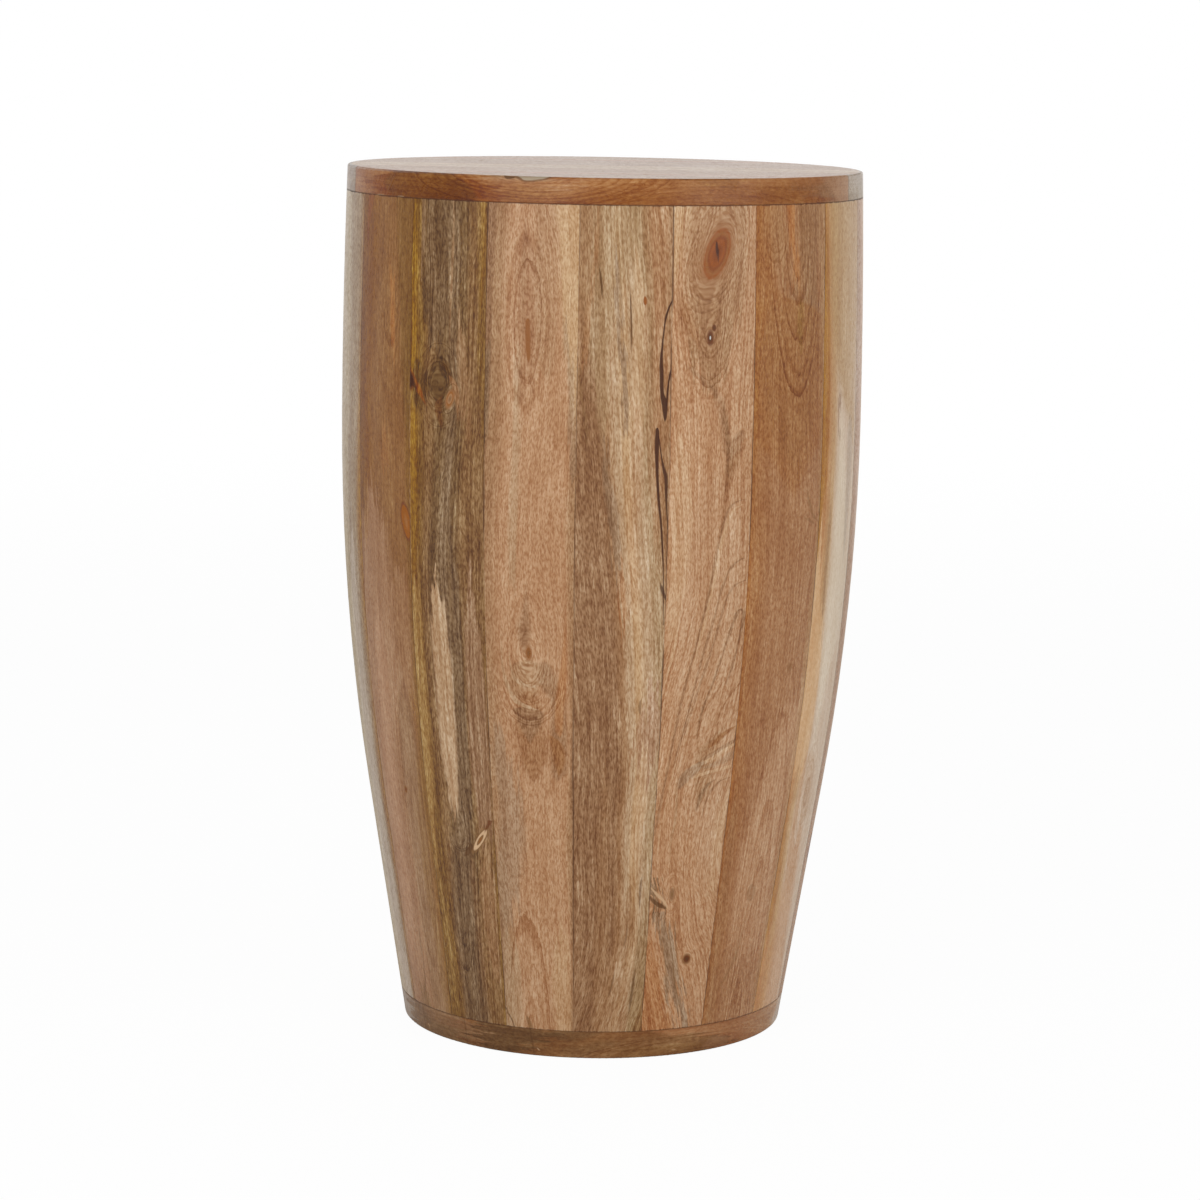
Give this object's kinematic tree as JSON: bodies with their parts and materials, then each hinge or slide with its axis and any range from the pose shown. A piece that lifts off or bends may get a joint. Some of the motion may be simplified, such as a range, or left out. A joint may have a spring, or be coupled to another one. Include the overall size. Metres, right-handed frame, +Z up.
{
  "type": "drum side table",
  "caption": "Coopered wooden drum side table: bevelled, bowed staves glued into a closed tapering drum between a flat round board top and a flat round board base.",
  "frame": {"origin": "middle of the underside of the base, on the floor", "axes": "+Z up the drum's axis, -Y the front face, +X to the right of the front"},
  "size_m": [0.338, 0.338, 0.56],
  "materials": {
    "top_wood": "satin lacquer over reddish brown hardwood",
    "stave_wood": "satin lacquer over mixed tan, red brown and olive hardwood boards",
    "base_wood": "satin lacquer over darker brown hardwood",
    "former_plywood": "bare plywood",
    "screw_steel": "zinc plated"
  },
  "bodies": {
    "root": {"top_board_front": "top_wood", "top_board_middle": "top_wood", "top_board_back": "top_wood", "stave_01": "stave_wood", "stave_02": "stave_wood", "stave_03": "stave_wood", "stave_04": "stave_wood", "stave_05": "stave_wood", "stave_06": "stave_wood", "stave_07": "stave_wood", "stave_08": "stave_wood", "stave_09": "stave_wood", "stave_10": "stave_wood", "stave_11": "stave_wood", "stave_12": "stave_wood", "stave_13": "stave_wood", "stave_14": "stave_wood", "stave_15": "stave_wood", "stave_16": "stave_wood", "stave_17": "stave_wood", "stave_18": "stave_wood", "base_board_1": "base_wood", "base_board_2": "base_wood", "base_board_3": "base_wood", "base_board_4": "base_wood", "base_board_5": "base_wood", "base_board_6": "base_wood", "upper_former": "former_plywood", "lower_former": "former_plywood", "top_screws": "screw_steel", "base_screws": "screw_steel"}
  },
  "joints": []
}
